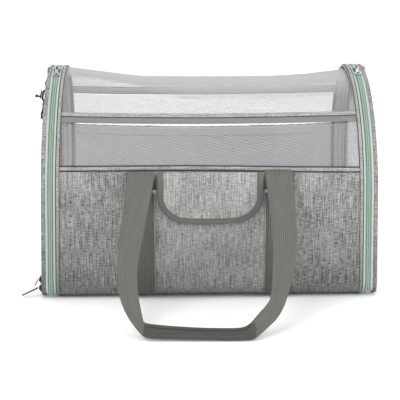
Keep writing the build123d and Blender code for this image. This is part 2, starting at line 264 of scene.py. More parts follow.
class Nodes:
    """A material's node tree, built by short calls."""

    def __init__(self, name):
        self.material = bpy.data.materials.new(name)
        self.material.use_nodes = True
        self.tree = self.material.node_tree
        self.shader = self.tree.nodes["Principled BSDF"]

    def add(self, kind, **settings):
        node = self.tree.nodes.new(kind)
        for key, value in settings.items():
            setattr(node, key, value)
        return node

    def link(self, source, target):
        self.tree.links.new(source, target)

    def math(self, operation, first, second=0.0, third=0.0):
        node = self.add("ShaderNodeMath", operation=operation)
        for socket, value in zip(node.inputs, (first, second, third)):
            if isinstance(value, bpy.types.NodeSocket):
                self.link(value, socket)
            else:
                socket.default_value = value
        return node.outputs[0]

    def times(self, first, second, plus=None):
        """first by second, and plus a third value where one is given."""
        if plus is None:
            return self.math("MULTIPLY", first, second)
        return self.math("MULTIPLY_ADD", first, second, plus)

    def split(self, vector):
        node = self.add("ShaderNodeSeparateXYZ")
        self.link(vector, node.inputs[0])
        return list(node.outputs)

    def weave(self):
        """Weave coordinates in millimetres as two sockets."""
        return self.split(self.add("ShaderNodeUVMap", uv_map="weave").outputs[0])[:2]

    def noise(self, u, v, size_u, size_v, detail=2.0, seed=0.0):
        """Noise over the weave, stretched to these sizes in millimetres."""
        join = self.add("ShaderNodeCombineXYZ")
        self.link(self.math("DIVIDE", u, size_u), join.inputs[0])
        self.link(self.math("DIVIDE", v, size_v), join.inputs[1])
        join.inputs[2].default_value = seed
        return self.texture(join.outputs[0], 1.0, detail)

    def grain(self, scale, detail):
        """Noise in object space, at a scale per metre."""
        return self.texture(self.add("ShaderNodeTexCoord").outputs["Object"], scale, detail)

    def texture(self, place, scale, detail):
        texture = self.add("ShaderNodeTexNoise")
        texture.inputs["Scale"].default_value = scale
        texture.inputs["Detail"].default_value = detail
        self.link(place, texture.inputs["Vector"])
        return texture.outputs["Fac"]

    def paint(self, colour):
        self.link(colour, self.shader.inputs["Base Color"])

    def wave(self, along, pitch, phase=0.0):
        """Sine of a length with this pitch, 0 to 1."""
        turn = self.times(along, 2 * math.pi / pitch, phase)
        return self.times(self.math("SINE", turn), 0.5, 0.5)

    def colours(self, factor, stops):
        node = self.add("ShaderNodeValToRGB")
        elements = node.color_ramp.elements
        while len(elements) < len(stops):
            elements.new(0.5)
        for element, (place, colour) in zip(elements, stops):
            element.position = place
            element.color = (*colour, 1)
        self.link(factor, node.inputs[0])
        return node.outputs[0]

    def with_base_shade(self, colour):
        """A colour with painted shade, darker towards the bag's base."""
        height = self.split(self.add("ShaderNodeTexCoord").outputs["Object"])[2]
        factor = self.times(height, 1 / BASE_SHADE_HEIGHT)
        depth = self.colours(factor, BASE_SHADE_STOPS)
        blend = self.add("ShaderNodeMix", data_type="RGBA", blend_type="MULTIPLY")
        blend.inputs["Factor"].default_value = 1.0
        self.link(colour, blend.inputs[6])
        self.link(depth, blend.inputs[7])
        return blend.outputs[2]

    def bump(self, height, strength, distance):
        node = self.add("ShaderNodeBump")
        node.inputs["Strength"].default_value = strength
        node.inputs["Distance"].default_value = distance * MM
        self.link(height, node.inputs["Height"])
        self.link(node.outputs[0], self.shader.inputs["Normal"])

    def finish(self, roughness, sheen=0.0, metallic=0.0, specular=0.3):
        for label, value in (("Roughness", roughness), ("Sheen Weight", sheen), ("Metallic", metallic),
                             ("Specular IOR Level", specular)):
            self.shader.inputs[label].default_value = value
        return self.material


def grey(level, warm=0.0):
    """Linear grey from an 8-bit display level, a little warm or cool."""
    linear = (level / 255) ** 2.2
    return (linear * (1 + warm), linear, linear * (1 - warm))


def scaled(colour, factor):
    return tuple(c * factor for c in colour)


def melange(name, light, dark):
    """Slubbed two-tone weave: long warp streaks, short weft streaks, faint patches."""
    n = Nodes(name)
    u, v = n.weave()
    warp = n.noise(u, v, 1.3, 26.0, seed=1.0)
    fine = n.noise(u, v, 0.8, 5.0, seed=2.0)
    weft = n.noise(u, v, 8.0, 1.1, seed=3.0)
    patch = n.noise(u, v, 34.0, 46.0, detail=3.0, seed=4.0)
    mix = n.times(warp, 0.37)
    for streaks, share in ((fine, 0.24), (weft, 0.33), (patch, 0.11)):
        mix = n.times(streaks, share, mix)
    middle = tuple((a + b) / 2 for a, b in zip(light, dark))
    tone = n.colours(mix, ((0.425, dark), (0.525, middle), (0.625, light)))
    # painted shade: the melange darkens towards the bag's base
    n.paint(n.with_base_shade(tone))
    threads = n.times(n.wave(u, 0.9), n.wave(v, 0.9, 1.2))
    height = n.times(threads, 0.5, n.times(mix, 0.6))
    n.bump(height, 0.6, 0.25)
    return n.finish(0.9, sheen=0.05)


def ribbed(name, light, dark, pitch, base_shaded=True):
    """Webbing or tape: ribs along its length, crossed by a fine weft."""
    n = Nodes(name)
    u, v = n.weave()
    ribs = n.wave(u, pitch)
    weft = n.wave(v, 0.8)
    wear = n.noise(u, v, 9.0, 30.0, detail=3.0, seed=7.0)
    mix = n.times(ribs, 0.5, n.times(weft, 0.12))
    mix = n.times(wear, 0.38, mix)
    tone = n.colours(mix, ((0.22, dark), (0.76, light)))
    # painted shade: darker towards the bag's base, unless turned off
    n.paint(n.with_base_shade(tone) if base_shaded else tone)
    n.bump(n.times(ribs, 0.8, n.times(weft, 0.25)), 0.5, 0.3)
    return n.finish(0.75, sheen=0.1)


def net(name, colour, closed, apex=0.0, streak=0.0, pitch=1.6):
    """Knitted net: rows of small holes, tighter by apex at the roof's top and by streak in slanting rows."""
    n = Nodes(name)
    u, v = n.weave()
    rows = n.wave(n.times(u, 0.3, v), 4.0)
    shifts = [n.times(n.noise(u, v, 8.0, 8.0, seed=seed), 3.0, -1.5) for seed in (11.0, 12.0)]
    u, v = [n.math("ADD", place, shift) for place, shift in zip((u, v), shifts)]
    slant = n.times(u, 0.55, v)
    first = n.math("SINE", n.times(u, math.pi / pitch * 1.3))
    second = n.math("SINE", n.times(slant, math.pi / pitch))
    lattice = n.math("ABSOLUTE", n.times(first, second))
    limit = closed
    if apex:
        away = n.math("ABSOLUTE", n.math("SUBTRACT", v, HALF_RUN))
        reach = n.times(u, 0.6, APEX_REACH + APEX_SHIFT)
        reach = n.math("MINIMUM", n.math("MAXIMUM", reach, APEX_REACH), 2 * APEX_REACH)
        near = n.math("SUBTRACT", 1.0, n.math("DIVIDE", away, reach))
        near.node.use_clamp = True
        limit = n.times(n.math("SMOOTH_MIN", near, 0.6, 0.3), apex / 0.6, closed)
    if streak:
        limit = n.times(rows, streak, limit)
    hole = n.math("GREATER_THAN", lattice, limit)
    patch = n.noise(u, v, 30.0, 30.0, seed=5.0)
    mix = n.times(rows, 0.6, n.times(patch, 0.4))
    n.paint(n.colours(mix, ((0.25, scaled(colour, 0.84)), (0.75, colour))))
    n.link(n.math("SUBTRACT", 1.0, hole), n.shader.inputs["Alpha"])
    return n.finish(0.6, sheen=0.05)


def plain_weave(name, colour, dark, pitch=1.0, roughness=0.8):
    """Close plain weave, for tapes and bindings."""
    n = Nodes(name)
    u, v = n.weave()
    threads = n.times(n.wave(u, pitch), n.wave(v, pitch))
    wear = n.noise(u, v, 14.0, 14.0, detail=4.0, seed=9.0)
    mix = n.times(threads, 0.4, n.times(wear, 0.7))
    n.paint(n.colours(mix, ((0.15, dark), (0.8, colour))))
    n.bump(threads, 0.4, 0.2)
    return n.finish(roughness, sheen=0.1)


def metal(name, colour, roughness):
    """Plated metal with faint polishing marks."""
    wear = 0.12
    n = Nodes(name)
    marks = n.grain(260.0, 3.0)
    n.paint(n.colours(marks, ((0.3, scaled(colour, 1 - 2 * wear)), (0.7, colour))))
    rough = n.times(marks, wear * 2, roughness - wear)
    n.link(rough, n.shader.inputs["Roughness"])
    return n.finish(roughness, metallic=1.0, specular=0.5)


def rough_solid(name, colour, dark, size, roughness, depth=0.3):
    """Fine mottled grain in object space, for boards, hook and loop tape and tabs."""
    n = Nodes(name)
    grain = n.grain(1.0 / (size * MM), 4.0)
    n.paint(n.colours(grain, ((0.3, dark), (0.7, colour))))
    n.bump(grain, 0.7, depth)
    return n.finish(roughness, sheen=0.1)


WEB_LIGHT = (0.130, 0.131, 0.119)
WEB_DARK = (0.070, 0.072, 0.063)
NET_TINT = np.array((1.0, 0.985, 1.025))
MELANGE = melange("melange", grey(162), grey(72))
MELANGE_FLAP = melange("melange_flap", grey(168), grey(94))
MELANGE_STRIP = melange("melange_strip", grey(168, 0.01), grey(108, 0.01))
LINING = plain_weave("lining", grey(236), grey(220))
SEAM_SHADOW = plain_weave("seam", grey(68, 0.02), grey(48, 0.02))
WEBBING = ribbed("webbing", WEB_LIGHT, WEB_DARK, pitch=2.8)
# the handle's legs take no painted base shade
WEB_LEG = ribbed("webbing_leg", scaled(WEB_LIGHT, 0.96), WEB_DARK, pitch=2.8, base_shaded=False)
# painted shade: a darker copy of the webbing for the grip
WEB_GRIP_SHADE = ribbed("webbing_grip_shade", scaled(WEB_LIGHT, 0.95), scaled(WEB_DARK, 0.8), pitch=2.6)
TAPE = ribbed("band_tape", grey(125, 0.005), grey(101, 0.01), pitch=1.8)
BINDING = ribbed("binding", scaled(WEB_LIGHT, 1.07), WEB_DARK, pitch=1.4)
NET = net("net", tuple(grey(192) * NET_TINT), closed=0.03, streak=0.15)
NET_ROOF = net("net_roof", tuple(grey(160) * NET_TINT), closed=0.17, apex=0.67, pitch=1.0)
NET_DOOR = net("net_door", tuple(grey(208) * NET_TINT), closed=0.38)
MINT = plain_weave("mint_tape", (0.40, 0.475, 0.42), (0.34, 0.405, 0.36))
MINT_COIL = plain_weave("mint_coil", (0.42, 0.55, 0.475), (0.34, 0.45, 0.385), pitch=0.7, roughness=0.5)
MINT_LINE = plain_weave("mint_line", (0.15, 0.215, 0.18), (0.115, 0.165, 0.14))
GREY_COIL = plain_weave("grey_coil", grey(166), grey(142), pitch=0.7, roughness=0.45)
DOOR_TAPE = ribbed("door_tape", grey(200), grey(180), pitch=1.8)
NICKEL = metal("nickel", (0.31, 0.32, 0.315), 0.34)
SLIDER_METAL = metal("slider_metal", (0.20, 0.205, 0.20), 0.34)
GUNMETAL = metal("gunmetal", (0.045, 0.043, 0.04), 0.38)
STITCH = plain_weave("stitch", grey(205), grey(180), pitch=0.5)
STITCH_DARK = plain_weave("stitch_dark", grey(108), grey(84), pitch=0.5)
STITCH_WEB = plain_weave("stitch_web", WEB_LIGHT, WEB_DARK, pitch=0.5)
FLEECE = rough_solid("fleece", grey(186), grey(140), 1.6, 0.95, depth=0.8)
TAB = rough_solid("tab_tape", grey(58), grey(38), 0.9, 0.6)
VELCRO = rough_solid("hook_and_loop", grey(96), grey(60), 0.7, 0.9, depth=0.6)
BOARD = rough_solid("board", grey(88), grey(66), 5.0, 0.7)
FIBRE = rough_solid("fibre_rod", grey(214), grey(190), 3.0, 0.45)
SLOTS = {material.name: slot for slot, materials in (
    ("melange_fabric", (MELANGE, MELANGE_FLAP, LINING)), ("piping_fabric", (MELANGE_STRIP, STITCH)),
    ("tape_grey", (SEAM_SHADOW, TAPE, BINDING, GREY_COIL, DOOR_TAPE, STITCH_DARK)),
    ("mesh", (NET, NET_ROOF, NET_DOOR)), ("zipper_mint", (MINT, MINT_COIL, MINT_LINE)),
    ("webbing", (WEBBING, WEB_LEG, WEB_GRIP_SHADE, STITCH_WEB)), ("fibre_rod", (FIBRE,))) for material in materials}


# ---- walls
PUFF = 1.6                 # how far the padded walls swell
WALL = 4.0                 # their thickness


def wall_relief(x, t):
    """How far the front wall swells and creases at x and distance t."""
    low, high = run_at(BASE_SEAM), run_at(SEAM)
    across = np.clip(1 - np.abs(x) / (HALF_LENGTH - BODY_START), 0, 1)
    up = np.clip((t - low) / (high - low), 0, 1)
    swell = PUFF * ramp(across, 0, 0.12) * np.sin(math.pi * up) ** 0.5
    crease = 0.9 * ripple(x, t, 55.0, 3.1) + 0.35 * ripple(x, t, 18.0, 8.4)
    return swell + crease * ramp(across, 0, 0.1) * ramp(up, 0, 0.08) * (1 - ramp(up, 0.93, 1))


def front_point(x, t, lift):
    """A point on the front wall, this far off its fabric."""
    y, z, ny, nz = outline(t)
    out = lift + wall_relief(x, t)
    return stack(x, y + ny * out, z + nz * out)


def between_ends(share, z):
    """x for a share -1 to 1 of the way between the leaning ends."""
    return -share * (-HALF_LENGTH + (z - LIFT) * math.tan(TILT) + BODY_START / math.cos(TILT))


def strip_between_ends(t0, t1, rows, columns, lift, relief=None):
    """A sheet between the ends, from t0 to t1 round the outline.  Returns front points and uv."""
    t = np.linspace(t0, t1, rows)[:, None]
    y, z, ny, nz = outline(t)
    x = between_ends(np.linspace(-1, 1, columns)[None], z)
    out = lift(x, t) if callable(lift) else lift
    points = stack(x, y + ny * out, z + nz * out)
    return (relief(points, x, t) if relief else points), stack(x, t)


def seam_drop(place, x):
    """How far the soft top edge of a wall hangs below its CAD line."""
    if place == "front_":
        return 3.0 * ramp(x, -60, 190)
    return 5.5 * np.clip(1 - (x / 200) ** 2, 0, 1)


def front_and_back(name, points, uv, material, thickness, replaced=None, settle=0.0):
    """Makes the front piece and its turned back twin; settle is each row's share of the drop."""
    made = []
    for place, turn in PLACES:
        spots = points.copy()
        spots[..., 2] -= seam_drop(place, spots[..., 0]) * settle
        piece = thicken(grid(place + name, turn(spots), uv, material, "shell"), thickness)
        if replaced:
            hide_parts(place + replaced)
        made.append(piece)
    return made


points, uv = strip_between_ends(run_at(BASE_SEAM) + 0.6, run_at(SEAM) - 1.0, 60, 120, wall_relief)
for piece in front_and_back("wall_fabric", points, uv, MELANGE, WALL - 0.5, "wall",
                            ramp(uv[..., 1], run_at(95), run_at(SEAM))):
    piece.data.materials.append(LINING)
    piece.modifiers["thickness"].material_offset = 1

t = np.linspace(-run_at(BASE_SEAM), run_at(BASE_SEAM), 70)[:, None]
y, z, ny, nz = outline(np.abs(t))
x = between_ends(np.linspace(-1, 1, 40)[None], z)
inward = 0.5 + 0.8 * ramp(1 - np.abs(t) / run_at(BASE_SEAM), 0, 0.3)
points = stack(x, (y - ny * inward) * np.where(t < 0, -1, 1), z - nz * inward)
base = thicken(grid("base_fabric", points, stack(x, t), MELANGE, "shell"), WALL - 1.5)
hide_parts("bottom_panel")


# ---- seams along the walls
def roll(t_middle, half_width, rise, rings):
    """A raised strip along the bag, round across its width.  Returns points and uv."""
    angle = np.linspace(0, math.pi, rings)
    t = t_middle - half_width * np.cos(angle)
    y, z, ny, nz = outline(t)
    x = between_ends(np.linspace(-1, 1, 100)[:, None], z)
    out = rise * np.sin(angle) - 0.4
    return stack(x, y + ny * out, z + nz * out + 0.25 * ripple(x, t, 26.0, 5.5)), stack(t, x)


for label, middle, half_width, rise, rings, material, thickness, replaced, settle in (
        ("piping_roll", (run_at(SEAM) + run_at(PIPING_TOP)) / 2, 2.3, 1.5, 9, MELANGE_STRIP, 0.8,
         "seam_piping", 1.0),
        ("upper_seam", run_at(PIPING_TOP) - 0.3, 1.2, 0.5, 5, SEAM_SHADOW, 0.6, None, 1.0),
        ("lower_seam", run_at(SEAM) - 0.1, 1.2, 0.5, 5, SEAM_SHADOW, 0.6, None, 1.0),
        ("base_seam", run_at(BASE_SEAM) + 0.2, 1.0, 0.5, 5, SEAM_SHADOW, 0.6, None, 0.0)):
    points, uv = roll(middle, half_width, rise, rings)
    front_and_back(label, points, uv, material, thickness, replaced, settle)
points, uv = strip_between_ends(run_at(SEAM) - 8, run_at(PIPING_TOP) + 0.6, 6, 60, -2.6)
front_and_back("wall_facing", points, uv, LINING, 1.2, settle=1.0)

# ---- roof bands and nets
BAND_LOW = math.acos((BAND[0][2] - ARCH) / (HALF_DEPTH - NET_THICK))   # angles from the arch's top
BAND_HIGH = math.acos((BAND[1][2] - ARCH) / HALF_DEPTH)
BAND_SAG = 3.5
ROOF_SAG = 16.0
NET_INSET = 1.6
SLACK = ((-196, 0.0), (-180, 0.1), (-88, 0.95), (-40, 1.0), (90, 1.0), (140, 0.82), (185, 0.45), (196, 0.2))
net_low = run_at(PIPING_TOP)
band_low, band_high = HALF_RUN - HALF_DEPTH * BAND_LOW, HALF_RUN - HALF_DEPTH * BAND_HIGH


def span(x):
    """0 to 1: how much of the roof's sag there is along the bag."""
    places, shares = zip(*SLACK)
    return np.interp(x, places, shares)


def band_drop(x):
    return BAND_SAG * (1 - (x / HALF_LENGTH) ** 2)


def band_relief(points, x, t):
    points[..., 2] -= band_drop(x)
    return points


def roof_relief(points, x, t):
    """Lowers the roof net by its sag."""
    angle = np.abs(HALF_RUN - t) / HALF_DEPTH
    middle = np.clip(1 - angle / BAND_HIGH, 0, 1)
    sag = band_drop(x) + (ROOF_SAG - BAND_SAG) * span(x) * np.sin(math.pi / 2 * middle) ** 0.9
    points[..., 2] -= sag - 0.5 * ripple(x, t, 90.0, 12.3) * ramp(middle, 0, 0.3) * span(x)
    return points


def net_relief(points, x, t):
    """Side net: follows the band above and stays on the seam below."""
    up = np.clip((t - net_low) / (band_low - net_low), 0, 1)
    points[..., 2] -= band_drop(x) * up
    points[..., 1] += 1.2 * np.sin(math.pi * up) * (1 - (x / HALF_LENGTH) ** 8)
    points[..., 1] += 0.5 * ripple(x, t, 40.0, 2.2) * np.sin(math.pi * up)
    return points


def declare_net(points):
    """Works out the length, width and area that a stretched net's grid of points spans; nothing uses them."""
    along, across = [np.linalg.norm(np.diff(points, axis=axis), axis=2).sum(axis).max() for axis in (1, 0)]
    first, second = points[1:, 1:] - points[:-1, :-1], points[1:, :-1] - points[:-1, 1:]
    area = np.linalg.norm(np.cross(first, second), axis=2).sum() / 2


points, uv = strip_between_ends(net_low - 0.5, band_low + 1, 16, 90, -NET_INSET, net_relief)
settle = np.clip((band_low - uv[..., 1]) / (band_low - net_low), 0, 1)
for piece in front_and_back("net", points, uv, NET, NET_CLOTH, "mesh", settle):
    declare_net(points)

points, uv = strip_between_ends(band_high - 1, 2 * HALF_RUN - band_high + 1, 40, 90, -NET_INSET, roof_relief)
roof = thicken(grid("roof_net", points, uv, NET_ROOF, "shell"), NET_CLOTH)
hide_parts("roof_mesh")
declare_net(points)

for label, low, high, rise, material, replaced in (
        ("band_tape", band_low + 2.2, band_low + 10.6, 0.7, TAPE, "roof_band"),
        ("band_seam", band_low + 10.4, band_low + 12.0, 0.1, SEAM_SHADOW, None),
        ("band_strip", band_low + 11.8, band_high - 1.0, 0.8, MELANGE_STRIP, None)):
    points, uv = strip_between_ends(low, high, 9, 90, lambda x, t: -0.6 + rise * np.sin(
        math.pi * (t - low) / (high - low)) ** 0.5, band_relief)
    front_and_back(label, points, uv[..., ::-1], material, 1.6, replaced)
points, uv = strip_between_ends(band_low + 5.5, band_high - 1, 5, 60, -2.4, band_relief)
for piece in front_and_back("band_facing", points, uv[..., ::-1], LINING, 0.6):
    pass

# ---- end hoops and zippers
RING_STEPS = 420
HINGE_S = 6.0
FULL_RUN = 2 * (BASE_HALF + CORNER_RUN + END_ARCH - CORNER + ARCH_RUN)
BODY_COIL, PANEL_COIL = 13.5, 10.95        # depths of the two coils in from the end's face
COIL_PITCH, COIL_RADIUS = 2.0, 0.75
zip_t0, door_t0 = run_at(0.9, END_ARCH), run_at(HINGE_S, END_ARCH)
ring_t, zip_t, door_t = [np.linspace(t0, FULL_RUN - t0, RING_STEPS) for t0 in (0, zip_t0, door_t0)]
foot_t = [np.linspace(zip_t0, door_t0, 24), np.linspace(FULL_RUN - door_t0, FULL_RUN - zip_t0, 24)]


def dome(d0, d1, base, rise, floor, count=9):
    """A rounded section from depth d0 to d1, closed below at a floor."""
    angle = np.linspace(0, math.pi, count)
    depth = (d0 + d1) / 2 - (d1 - d0) / 2 * np.cos(angle)
    section = np.stack((depth, base + rise * np.sin(angle) ** 0.8), -1)
    return np.concatenate([section, [(depth[-1], floor)], [(depth[0], floor)], [section[0]]])


def flat(d0, d1, top, bottom):
    """A thin rectangle of a section."""
    return np.array([(d0, bottom), (d0, top), (d1, top), (d1, bottom), (d0, bottom)])


def helix(start, end, pitch):
    """Run and angle at each point of a coil, eight points a turn."""
    turns = (end - start) / pitch
    run = np.linspace(start, end, int(turns * 8))
    return run, np.linspace(0, turns * 2 * math.pi, len(run))


def coil(name, t, middle, body, turn):
    """One row of a coil zipper: a helix round the outline."""
    run, angle = helix(t[0], t[-1], COIL_PITCH)
    y, s, ny, ns = outline(run, END_ARCH)
    out = -0.75 + 0.55 * (1 + np.sin(angle))
    path = end_point(y + ny * out, s + ns * out, middle + COIL_RADIUS * np.cos(angle))
    tube(name, turn(path), 0.42, MINT_COIL, body, sides=5)


TAPE_SECTION = flat(5.8, 12.1, -1.0, -1.8)
HOOP_PARTS = {"hoop_roll": "piping_hoop", "body_tape": "body_zipper", "panel_tape": "panel_zipper"}
for other, turn in SIDES:
    end = other + "end"
    for label, body, run, section, material in (
            ("hoop_roll", "shell", ring_t, dome(19.4, 23.3, -0.6, 1.3, -WALL), MELANGE_STRIP),
            ("hoop_inner_seam", "shell", ring_t, flat(23.1, 24.3, -0.6, -2.0), SEAM_SHADOW),
            ("hoop_outer_seam", "shell", ring_t, flat(18.4, 19.6, -0.6, -2.0), SEAM_SHADOW),
            ("inner_binding", "shell", zip_t, flat(12.4, 24.4, -1.95, -2.9), LINING),
            ("panel_inner_binding", end, door_t, flat(5.6, 12.0, -1.95, -2.9), LINING),
            ("body_tape", "shell", zip_t, flat(12.3, 18.5, -1.0, -1.8), MINT),
            ("body_tape_edge", "shell", zip_t, dome(15.6, 18.5, -1.0, 0.35, -1.4, 7), MINT),
            ("body_line", "shell", zip_t, flat(14.3, 15.9, -0.72, -1.3), MINT_LINE),
            ("panel_line", end, door_t, flat(8.5, 10.0, -0.72, -1.3), MINT_LINE),
            ("meeting_line", "shell", zip_t, flat(12.1, 12.8, -0.8, -1.3), MINT_LINE),
            ("panel_tape", end, door_t, TAPE_SECTION, MINT),
            ("panel_tape_edge", end, door_t, dome(5.8, 8.7, -1.0, 0.35, -1.4, 7), MINT),
            ("foot_tape_0", "shell", foot_t[0], TAPE_SECTION, MINT),
            ("foot_tape_1", "shell", foot_t[1], TAPE_SECTION, MINT)):
        piece = sweep(other + label, (*outline(run, END_ARCH), run), section, material, body, turn,
                      caps=run is not ring_t)
        if label in HOOP_PARTS:
            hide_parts(other + HOOP_PARTS[label])
    coil(other + "body_coil", zip_t, BODY_COIL, "shell", turn)
    coil(other + "panel_coil", door_t, PANEL_COIL, end, turn)
    for index, foot in enumerate(foot_t):
        coil(f"{other}foot_coil_{index}", foot, PANEL_COIL, "shell", turn)


# ---- strips, slabs and stitches
def smooth_path(points, count, rounds=3):
    """Rounds a path's corners and spaces its points evenly."""
    points = np.asarray(points, float)
    for _ in range(rounds):
        near = 0.75 * points[:-1] + 0.25 * points[1:]
        far = 0.25 * points[:-1] + 0.75 * points[1:]
        between = np.stack((near, far), 1).reshape(-1, points.shape[1])
        points = np.concatenate([points[:1], between, points[-1:]])
    run = lengths(points)
    even = np.linspace(0, run[-1], count)
    return np.stack([np.interp(even, run, column) for column in points.T], -1)


def slab(name, centre, half, uv, material, body):
    """A closed strip round a grid of centre points, half as thick as half says."""
    normal = np.cross(np.gradient(centre, axis=0), np.gradient(centre, axis=1))
    normal /= np.linalg.norm(normal, axis=-1, keepdims=True)
    half = np.broadcast_to(half, centre.shape[:2])[..., None]
    top, low = centre + normal * half, centre - normal * half
    around = np.concatenate([top, low[:, ::-1], top[:, :1]], axis=1)
    spots = np.concatenate([uv, uv[:, ::-1], uv[:, :1]], axis=1)
    return grid(name, around, spots, material, body, caps=True)


def stitches(name, paths, material, body, pitch=4.0, share=0.62, width=0.42):
    """Rows of short raised stitches along paths."""
    vertices, faces = [], []
    for path in paths:
        run = lengths(path)
        places = np.arange(pitch / 2, run[-1], pitch)
        middles, ahead, behind = [np.stack([np.interp(places + step, run, c) for c in path.T], -1)
                                  for step in (0, 0.2, -0.2)]
        for middle, tangent in zip(middles, ahead - behind):
            tangent = tangent / max(np.linalg.norm(tangent), 1e-6)
            side = np.cross(tangent, (0.2, -0.3, 0.93))
            side /= np.linalg.norm(side)
            up = np.cross(tangent, side)
            first = len(vertices)
            reach = tangent * pitch * share / 2
            for out, wide in ((-1.0, 0.35), (-0.5, 1.0), (0.5, 1.0), (1.0, 0.35)):
                for angle in np.arange(5) * 2 * math.pi / 5:
                    vertices.append(middle + reach * out
                                    + (side * math.cos(angle) + up * math.sin(angle)) * width * wide)
            faces += [tuple(first + i for i in range(5)), tuple(first + 15 + i for i in range(5))]
            faces += [(first + 5 * k + i, first + 5 * k + (i + 1) % 5,
                       first + 5 * k + 5 + (i + 1) % 5, first + 5 * k + 5 + i)
                      for k in range(3) for i in range(5)]
    return add_mesh(name, vertices, faces, [(v[0] + v[1], v[2]) for v in vertices], material, body)


# ---- sewn straps
STRAP_LOW = 8.5
STRAP_LIFT = 1.5
STRAP_HALF = STRAP_WIDTH / 2
STRAP_X = STRAP_OUTER - STRAP_HALF
share = np.linspace(-1, 1, 9)[None]
t = np.linspace(run_at(STRAP_LOW), run_at(STRAP_TOP + 1.5), 70)[:, None]
row_t = np.linspace(run_at(STRAP_LOW + 2), run_at(STRAP_TOP - 2), 70)
for place, turn in PLACES:
    rows = []
    for label, middle in (("strap_left", -STRAP_X), ("strap_right", STRAP_X)):
        x = middle + share * STRAP_HALF
        points = front_point(x, t, STRAP_LIFT + 0.35 * (1 - share ** 2))
        strap = slab(place + label, turn(points), 0.75, stack(x, t), WEBBING, "shell")
        if label == "strap_left":
            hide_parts(place + "straps")
        rows += [turn(front_point(middle + edge, row_t, STRAP_LIFT + 0.85))
                 for edge in (2.4 - STRAP_HALF, STRAP_HALF - 2.4)]
    stitches(place + "strap_stitches", rows, STITCH_WEB, "shell", width=0.3)

# ---- handles
SLOPE = math.radians(42.2)
HANDLE_EDGES = (           # outer x and s, inner x and s
    (-105.5, 0, -70.5, 0), (-110, 50, -79, 50), (-116, 107, -88.5, 107), (-117, 141, -93, 135),
    (-114.5, 170, -91.5, 166), (-105, 195, -88, 186), (-92, 214, -85, 201), (-84, 223, -83.5, 205.5),
    (-76, 225, -74, 207.5), (-50, 226, -50, 210), (-17, 227, -17, 212.5), (19, 228, 19, 213.5),
    (36, 228, 34, 213), (47, 227.5, 42, 209), (56, 220, 49, 201), (66, 211, 57, 191),
    (78, 199, 63.5, 184), (88, 180, 70, 174), (99, 143, 74, 138), (105.5, 108, 75.5, 105),
    (107, 75, 75.5, 75), (104.8, 0, 70.2, 0))
HANDLE_COLUMNS = 25
HANDLE_HALF = 1.05
FOLD_LOOP = ((-1.6, -10.0), (-1.6, -3.0), (-1.3, 0.6), (-0.2, 1.9))   # y and z from the fold line
FOLD_STEP = 4.0
GRIP_SHADE_Z, GRIP_SHADE_X = 18.5, (-84, 50)           # where the webbing takes painted shade: a darker copy of it on the grip


def on_handle(x, s, lift=0.0):
    """A point of the leaning handle: x across, s down from its fold."""
    y = FOLD[1] - s * math.sin(SLOPE) - lift * math.cos(SLOPE)
    z = FOLD[2] - s * math.cos(SLOPE) + lift * math.sin(SLOPE)
    return stack(x, y, z)


edges = smooth_path(HANDLE_EDGES, 200, rounds=1)
share = np.linspace(0, 1, HANDLE_COLUMNS)[None]
x, s = [edges[:, None, i + 2] * share + edges[:, None, i] * (1 - share) for i in (0, 1)]
run = lengths(edges[:, :2])
grip = ramp(s.mean(1), 196, 212)[:, None]
across = 2 * share - 1
twist = 1.4 * ripple(run[:, None] * 0.5, across * 8, 22.0, 6.6) * ramp(s, 5, 40)
first, last = [np.array([[(x0, FOLD[1] + dy, FOLD[2] + dz) for x0 in row] for dy, dz in loop])
               for row, loop in ((x[0], FOLD_LOOP), (x[-1], FOLD_LOOP[::-1]))]
centre = np.concatenate([first, on_handle(x, s, twist * (1 - grip) + 0.9 * grip), last])
swell = 1.75 * np.sqrt(np.clip(1 - across ** 2 * 0.8, 0, 1)) + 0.42 * np.cos(across * 11.0)
half = np.pad(HANDLE_HALF + grip * swell, ((len(FOLD_LOOP),) * 2, (0, 0)), constant_values=HANDLE_HALF)
steps = np.arange(1, len(FOLD_LOOP) + 1) * FOLD_STEP
run = np.concatenate([run[0] - steps[::-1], run, run[-1] + steps])
seam_path = smooth_path([(-79, 210.5), (-62, 213.2), (-20, 216.0), (20, 217.0), (36, 216.2), (44, 211)], 80)
stitch_path = smooth_path([(-66, 222.5), (-20, 224.4), (22, 225.2), (40, 222)], 60)
for place, turn in PLACES:
    carry = place + "carry"
    handle = slab(place + "handle_webbing", turn(centre), half, stack(across * STRAP_HALF, run[:, None]),
                  WEB_LEG, None)
    # painted shade: the grip's faces take the darker copy of the webbing
    handle.data.materials.append(WEB_GRIP_SHADE)
    for face in handle.data.polygons:
        face_x, _, face_z = turn(np.array(face.center)) / MM
        if face_z < GRIP_SHADE_Z and GRIP_SHADE_X[0] < face_x < GRIP_SHADE_X[1]:
            face.material_index = 1
    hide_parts(place + "handle")
    bend(handle, "shell", carry, turn(on_handle(0.0, 3.0)), turn(on_handle(0.0, 13.0)))
    # the grip's folded edge and its row of stitches
    seam = tube(place + "grip_seam", turn(on_handle(*seam_path.T, 3.6)), 0.9, SEAM_SHADOW, carry, sides=6)
    stitches(place + "handle_stitches", [turn(on_handle(*stitch_path.T, 3.7))], STITCH_WEB, carry)

# ---- pocket and flap
POCKET_LOW = 9.5
POCKET_HALF = POCKET[1][0]
POCKET_TOP = POCKET[1][2]
POCKET_SLACK = 3.6


def pocket_lift(x, t):
    """How far the pocket's panel stands off the wall."""
    held = ramp(POCKET_HALF - np.abs(x), -1, 7) * ramp(t - run_at(POCKET_LOW), -2, 14)
    return 1.0 + (POCKET_SLACK + 0.5 * ripple(x, t, 34.0, 20.5)) * held


